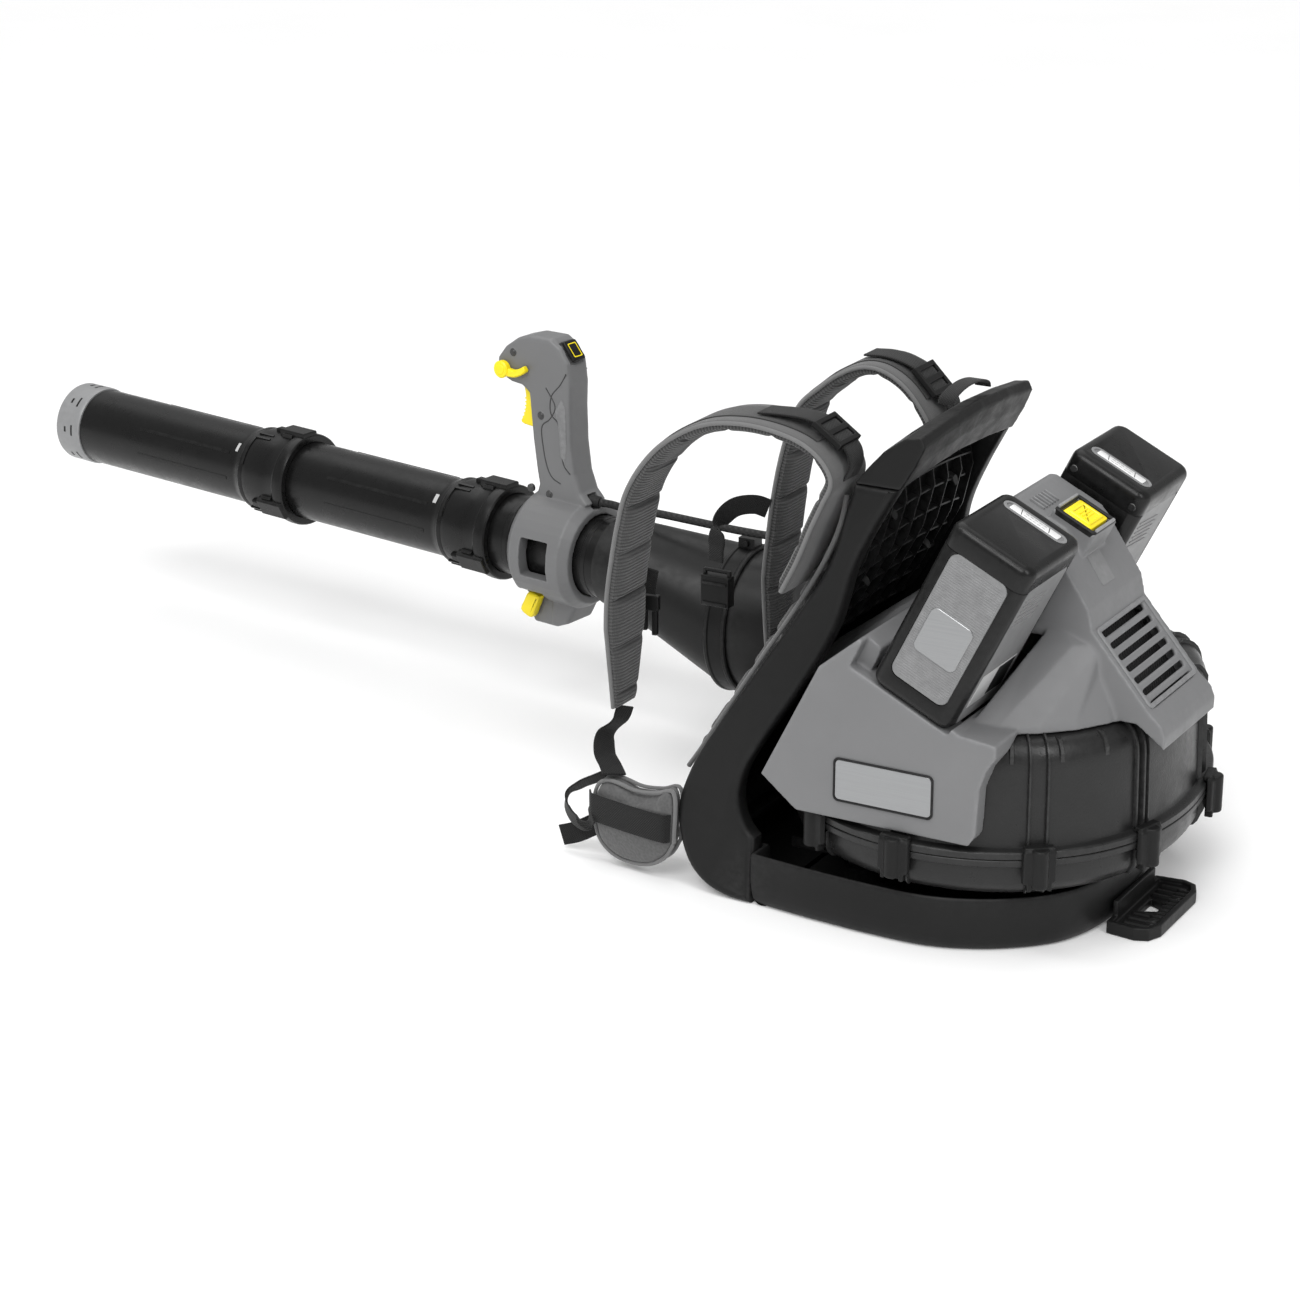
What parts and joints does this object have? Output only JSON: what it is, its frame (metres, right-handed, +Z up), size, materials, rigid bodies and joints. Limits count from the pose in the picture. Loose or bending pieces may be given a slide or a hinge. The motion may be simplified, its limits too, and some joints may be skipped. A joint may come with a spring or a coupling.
{
  "type": "backpack leaf blower",
  "caption": "Battery backpack leaf blower with a spiral fan housing, carrying frame with harness, two slide-out battery packs and a three-section blow tube with control handle.",
  "frame": {"origin": "on the floor under the middle of the base, on the base tray's flat underside", "axes": "+X rearward, away from the wearer; -X is the way the nozzle points; -Y is the wearer's left; +Y the blow tube side; +Z up"},
  "size_m": [1.4335, 0.4918, 0.4592],
  "materials": {
    "frame_plastic": "moulded, very dark grey, fine grain",
    "drum_plastic": "moulded, dark grey, satin",
    "cover_plastic": "moulded, mid grey, fine grain",
    "dark_plastic": "moulded, black",
    "tube_plastic": "satin black",
    "ring_plastic": "mid grey",
    "yellow_plastic": "bright yellow",
    "pack_plastic": "black, slightly glossy",
    "gauge_white": "white window in a grey frame",
    "padding": "ribbed spacer mesh over foam, grey piping",
    "webbing": "woven black webbing",
    "rubber": "matt",
    "steel": "laminated steel",
    "rotor_steel": "ground shaft",
    "plate_metal": "brushed plate"
  },
  "bodies": {
    "unit": {"fan_housing_upper": "drum_plastic", "fan_housing_lower": "drum_plastic", "clip_1": "drum_plastic", "clip_2": "drum_plastic", "clip_3": "drum_plastic", "clip_4": "drum_plastic", "clip_5": "drum_plastic", "clip_6": "drum_plastic", "motor_carrier": "dark_plastic", "motor_stator": "steel", "base_tray": "frame_plastic", "buffer_front_left": "rubber", "buffer_front_right": "rubber", "buffer_rear": "rubber", "foot_plate": "frame_plastic", "frame_rail_left": "frame_plastic", "frame_rail_right": "frame_plastic", "frame_yoke": "frame_plastic", "grab_loop": "webbing", "back_panel": "dark_plastic", "back_cushion": "padding", "shoulder_strap_left": "padding", "shoulder_strap_right": "padding", "strap_adjuster_left": "dark_plastic", "strap_adjuster_right": "dark_plastic", "lower_webbing_left": "webbing", "lower_webbing_right": "webbing", "hip_pad_left": "padding", "hip_pad_right": "padding", "chest_webbing_left": "webbing", "chest_buckle_catch": "dark_plastic", "chest_webbing_right": "webbing", "chest_buckle_receiver": "dark_plastic", "top_cover": "cover_plastic", "vent_screen": "dark_plastic", "name_plate": "plate_metal", "motor_controller": "steel", "outlet_duct": "drum_plastic", "hose_clamp": "dark_plastic", "flex_sleeve": "tube_plastic", "cable_gland_unit": "rubber", "control_cable": "rubber"},
    "blow_tube": {"blow_tube_rear": "tube_plastic", "control_handle": "cover_plastic", "cable_gland_handle": "rubber"},
    "middle_tube": {"blow_tube_middle": "tube_plastic"},
    "nozzle_tube": {"blow_tube_nozzle": "tube_plastic", "nozzle_ring": "ring_plastic"},
    "trigger": {"throttle_trigger": "yellow_plastic"},
    "cruise": {"cruise_lever": "yellow_plastic"},
    "boost": {"boost_button": "dark_plastic"},
    "clamp": {"clamp_lever": "yellow_plastic"},
    "battery_left_pack": {"battery_left": "pack_plastic", "battery_gauge_left": "gauge_white"},
    "battery_right_pack": {"battery_right": "pack_plastic", "battery_gauge_right": "gauge_white"},
    "latch": {"battery_latch": "yellow_plastic"},
    "fan": {"fan_wheel": "dark_plastic", "motor_rotor_shaft": "rotor_steel"}
  },
  "joints": [
    {"name": "tube_swing", "type": "hinge", "parent": "unit", "child": "blow_tube", "pos_m": [-0.43, 0.195, 0.15], "axis": [0, 0, 1], "range_deg": [-12, 12], "deforming": ["flex_sleeve", "control_cable"]},
    {"name": "middle_tube_twist", "type": "hinge", "parent": "blow_tube", "child": "middle_tube", "pos_m": [-0.6836, 0.1944, 0.1795], "axis": [-0.993, 0.1149, 0.0273], "range_deg": [0, 20]},
    {"name": "nozzle_tube_twist", "type": "hinge", "parent": "middle_tube", "child": "nozzle_tube", "pos_m": [-0.6836, 0.1944, 0.1795], "axis": [-0.993, 0.1149, 0.0273], "range_deg": [0, 20]},
    {"name": "throttle_squeeze", "type": "hinge", "parent": "blow_tube", "child": "trigger", "pos_m": [-0.5998, 0.1847, 0.3382], "axis": [-0.1149, -0.9934, 0], "range_deg": [0, 15], "stiffness_Nm_per_rad": 0.4, "springref_deg": -8.59},
    {"name": "cruise_turn", "type": "hinge", "parent": "blow_tube", "child": "cruise", "pos_m": [-0.638, 0.168, 0.3569], "axis": [-0.1149, -0.9934, 0], "range_deg": [0, 55]},
    {"name": "boost_press", "type": "slide", "parent": "blow_tube", "child": "boost", "axis": [-0.778, 0.09, -0.6218], "range_m": [0, 0.0015], "stiffness_N_per_m": 600},
    {"name": "clamp_turn", "type": "hinge", "parent": "blow_tube", "child": "clamp", "pos_m": [-0.5977, 0.1593, 0.119], "axis": [-0.1149, -0.9934, 0], "range_deg": [0, 90]},
    {"name": "battery_left_slide", "type": "slide", "parent": "unit", "child": "battery_left_pack", "axis": [0.4384, 0, 0.8988], "range_m": [0, 0.16]},
    {"name": "battery_right_slide", "type": "slide", "parent": "unit", "child": "battery_right_pack", "axis": [0.4384, 0, 0.8988], "range_m": [0, 0.16]},
    {"name": "latch_press", "type": "slide", "parent": "unit", "child": "latch", "axis": [-0.4384, 0, -0.8988], "range_m": [0, 0.003], "stiffness_N_per_m": 300},
    {"name": "fan_spin", "type": "hinge", "parent": "unit", "child": "fan", "pos_m": [-0.02, 0, 0.12], "axis": [0, 0, 1], "continuous": true}
  ]
}
